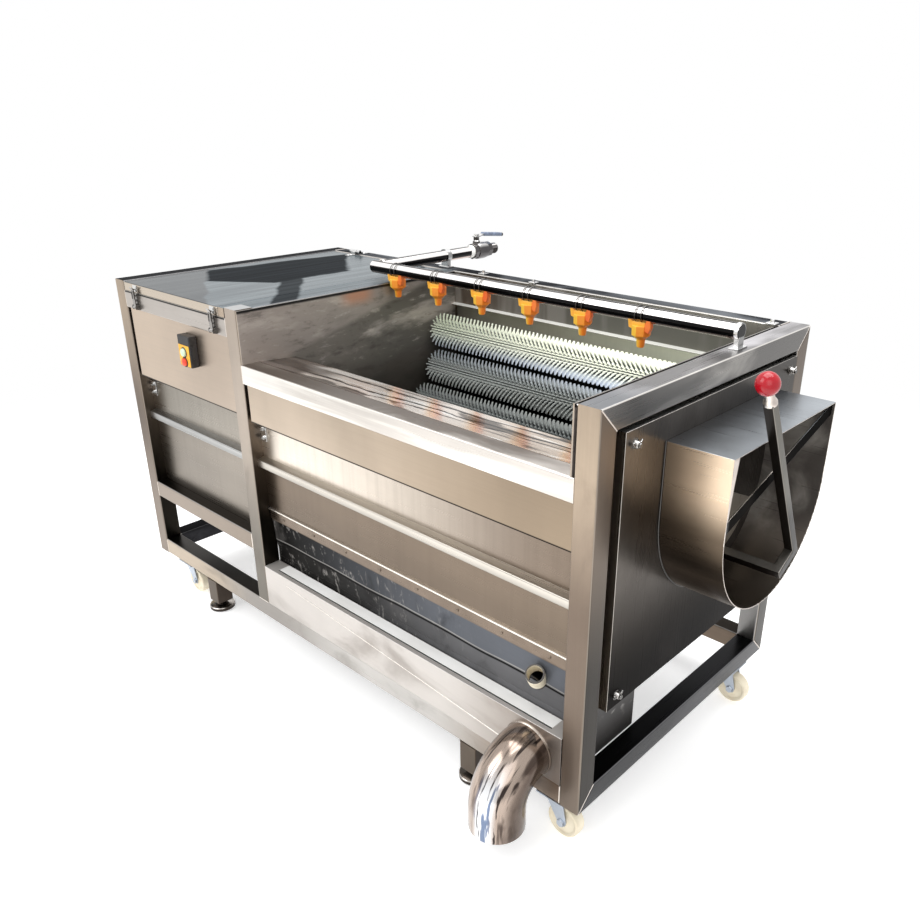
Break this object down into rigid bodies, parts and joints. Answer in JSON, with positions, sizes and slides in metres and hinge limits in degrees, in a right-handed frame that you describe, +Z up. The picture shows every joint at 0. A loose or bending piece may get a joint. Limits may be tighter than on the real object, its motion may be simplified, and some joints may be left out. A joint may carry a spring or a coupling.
{
  "type": "brush roller vegetable washer",
  "caption": "Stainless vegetable washer: a trough of driven brush rollers under a spray bar, with a drive cabinet, a drain and a lever-gated discharge chute, on casters.",
  "frame": {"origin": "on the floor under the middle of the machine's overall box", "axes": "+X from the drive cabinet to the discharge chute, +Y from the front to the back, +Z up"},
  "size_m": [1.878, 1.184, 1.063],
  "materials": {
    "frame_steel": "satin",
    "panel_steel": "satin",
    "dark_steel": "satin",
    "polished_steel": "polished",
    "orange_plastic": "gloss",
    "bright_hardware": "plated",
    "handle_coating": "dipped",
    "motor_paint": "gloss",
    "chain_steel": "oiled",
    "bearing_iron": "painted",
    "brush_nylon": "bristle",
    "red_plastic": "gloss",
    "pale_green_plastic": "gloss",
    "black_plastic": "satin",
    "zinc_steel": "zinc plated",
    "wheel_nylon": "matte"
  },
  "bodies": {
    "frame": {"corner_posts": "frame_steel", "long_rails": "frame_steel", "cross_rails": "frame_steel", "front_skirt": "panel_steel", "front_lower_panel": "panel_steel", "cabinet_front_panel": "panel_steel", "cabinet_lower_panel": "panel_steel", "back_panels": "panel_steel", "left_end_panel": "panel_steel", "drive_plate": "dark_steel", "end_bearing_plate": "dark_steel", "end_cover_panel": "dark_steel", "discharge_chute": "panel_steel", "trough_guards": "panel_steel", "water_hopper": "dark_steel", "sump_pan": "panel_steel", "drain_elbow": "polished_steel", "spray_bar": "polished_steel", "spray_nozzles": "orange_plastic", "spray_brackets": "bright_hardware", "ball_valve": "bright_hardware", "motor_shelf": "panel_steel", "gear_motor": "motor_paint", "drive_chains": "chain_steel", "roller_bearings": "bearing_iron", "gate_pivot": "bright_hardware", "switch_box": "black_plastic", "lid_hinges": "bright_hardware", "latch_bases": "bright_hardware", "caster_plates": "frame_steel", "leg_sleeves": "frame_steel", "fasteners": "bright_hardware"},
    "roller_1": {"brush_roller_1": "brush_nylon"},
    "roller_2": {"brush_roller_2": "brush_nylon"},
    "roller_3": {"brush_roller_3": "brush_nylon"},
    "roller_4": {"brush_roller_4": "brush_nylon"},
    "roller_5": {"brush_roller_5": "brush_nylon"},
    "roller_6": {"brush_roller_6": "brush_nylon"},
    "roller_7": {"brush_roller_7": "brush_nylon"},
    "roller_8": {"brush_roller_8": "brush_nylon"},
    "motor_output": {"motor_sprocket": "chain_steel"},
    "gate": {"gate_plate": "dark_steel", "gate_lever": "dark_steel", "lever_knob": "red_plastic"},
    "lid": {"cabinet_lid": "panel_steel"},
    "valve_arm": {"valve_handle": "handle_coating"},
    "start_push": {"start_button": "pale_green_plastic"},
    "stop_push": {"stop_button": "red_plastic"},
    "latch_1": {"latch_lever_1": "bright_hardware"},
    "latch_2": {"latch_lever_2": "bright_hardware"},
    "fork_1": {"caster_fork_1": "zinc_steel"},
    "fork_2": {"caster_fork_2": "zinc_steel"},
    "fork_3": {"caster_fork_3": "zinc_steel"},
    "fork_4": {"caster_fork_4": "zinc_steel"},
    "wheel_1": {"caster_wheel_1": "wheel_nylon"},
    "wheel_2": {"caster_wheel_2": "wheel_nylon"},
    "wheel_3": {"caster_wheel_3": "wheel_nylon"},
    "wheel_4": {"caster_wheel_4": "wheel_nylon"},
    "feet": {"levelling_feet": "bright_hardware"}
  },
  "joints": [
    {"name": "roller_1_spin", "type": "hinge", "parent": "frame", "child": "roller_1", "pos_m": [0.161, 0.244, 0.81], "axis": [1, 0, 0], "continuous": true},
    {"name": "roller_2_spin", "type": "hinge", "parent": "frame", "child": "roller_2", "pos_m": [0.161, 0.22274, 0.70309], "axis": [1, 0, 0], "continuous": true},
    {"name": "roller_3_spin", "type": "hinge", "parent": "frame", "child": "roller_3", "pos_m": [0.161, 0.16227, 0.6124], "axis": [1, 0, 0], "continuous": true},
    {"name": "roller_4_spin", "type": "hinge", "parent": "frame", "child": "roller_4", "pos_m": [0.161, 0.07175, 0.55168], "axis": [1, 0, 0], "continuous": true},
    {"name": "roller_5_spin", "type": "hinge", "parent": "frame", "child": "roller_5", "pos_m": [0.161, -0.0351, 0.53014], "axis": [1, 0, 0], "continuous": true},
    {"name": "roller_6_spin", "type": "hinge", "parent": "frame", "child": "roller_6", "pos_m": [0.161, -0.14208, 0.55103], "axis": [1, 0, 0], "continuous": true},
    {"name": "roller_7_spin", "type": "hinge", "parent": "frame", "child": "roller_7", "pos_m": [0.161, -0.23297, 0.61119], "axis": [1, 0, 0], "continuous": true},
    {"name": "roller_8_spin", "type": "hinge", "parent": "frame", "child": "roller_8", "pos_m": [0.161, -0.294, 0.7015], "axis": [1, 0, 0], "continuous": true},
    {"name": "motor_output_spin", "type": "hinge", "parent": "frame", "child": "motor_output", "pos_m": [-0.379, -0.186, 0.444], "axis": [1, 0, 0], "continuous": true},
    {"name": "gate_turn", "type": "hinge", "parent": "frame", "child": "gate", "pos_m": [0.775, -0.014, 0.702], "axis": [-1, 0, 0], "range_deg": [0, 90]},
    {"name": "lid_hinge", "type": "hinge", "parent": "frame", "child": "lid", "pos_m": [-0.639, 0.314, 0.983], "axis": [-1, 0, 0], "range_deg": [0, 95]},
    {"name": "valve_turn", "type": "hinge", "parent": "frame", "child": "valve_arm", "pos_m": [-0.377, 0.474, 1.05], "axis": [0, 0, 1], "range_deg": [0, 90]},
    {"name": "start_push_slide", "type": "slide", "parent": "frame", "child": "start_push", "axis": [0, 1, 0], "range_m": [0, 0.004], "stiffness_N_per_m": 400},
    {"name": "stop_push_slide", "type": "slide", "parent": "frame", "child": "stop_push", "axis": [0, 1, 0], "range_m": [0, 0.004], "stiffness_N_per_m": 400},
    {"name": "latch_1_swing", "type": "hinge", "parent": "frame", "child": "latch_1", "pos_m": [-0.822, -0.444, 0.911], "axis": [1, 0, 0], "range_deg": [0, 165]},
    {"name": "latch_2_swing", "type": "hinge", "parent": "frame", "child": "latch_2", "pos_m": [-0.422, -0.444, 0.911], "axis": [1, 0, 0], "range_deg": [0, 165]},
    {"name": "caster_1_swivel", "type": "hinge", "parent": "frame", "child": "fork_1", "pos_m": [-0.794, -0.401, 0.095], "axis": [0, 0, 1], "continuous": true},
    {"name": "caster_2_swivel", "type": "hinge", "parent": "frame", "child": "fork_2", "pos_m": [0.685, -0.401, 0.095], "axis": [0, 0, 1], "continuous": true},
    {"name": "caster_3_swivel", "type": "hinge", "parent": "frame", "child": "fork_3", "pos_m": [-0.904, 0.254, 0.095], "axis": [0, 0, 1], "continuous": true},
    {"name": "caster_4_swivel", "type": "hinge", "parent": "frame", "child": "fork_4", "pos_m": [0.726, 0.254, 0.095], "axis": [0, 0, 1], "continuous": true},
    {"name": "caster_1_roll", "type": "hinge", "parent": "fork_1", "child": "wheel_1", "pos_m": [-0.772, -0.401, 0.04], "axis": [0, 1, 0], "continuous": true},
    {"name": "caster_2_roll", "type": "hinge", "parent": "fork_2", "child": "wheel_2", "pos_m": [0.707, -0.401, 0.04], "axis": [0, 1, 0], "continuous": true},
    {"name": "caster_3_roll", "type": "hinge", "parent": "fork_3", "child": "wheel_3", "pos_m": [-0.882, 0.254, 0.04], "axis": [0, 1, 0], "continuous": true},
    {"name": "caster_4_roll", "type": "hinge", "parent": "fork_4", "child": "wheel_4", "pos_m": [0.748, 0.254, 0.04], "axis": [0, 1, 0], "continuous": true},
    {"name": "feet_level", "type": "slide", "parent": "frame", "child": "feet", "axis": [0, 0, 1], "range_m": [0, 0.01]}
  ],
  "couplings": [
    {"joint": "roller_1_spin", "follows": "roller_5_spin", "ratio": 1},
    {"joint": "roller_2_spin", "follows": "roller_5_spin", "ratio": 1},
    {"joint": "roller_3_spin", "follows": "roller_5_spin", "ratio": 1},
    {"joint": "roller_4_spin", "follows": "roller_5_spin", "ratio": 1},
    {"joint": "roller_6_spin", "follows": "roller_5_spin", "ratio": 1},
    {"joint": "roller_7_spin", "follows": "roller_5_spin", "ratio": 1},
    {"joint": "roller_8_spin", "follows": "roller_5_spin", "ratio": 1},
    {"joint": "motor_output_spin", "follows": "roller_5_spin", "ratio": 1}
  ]
}
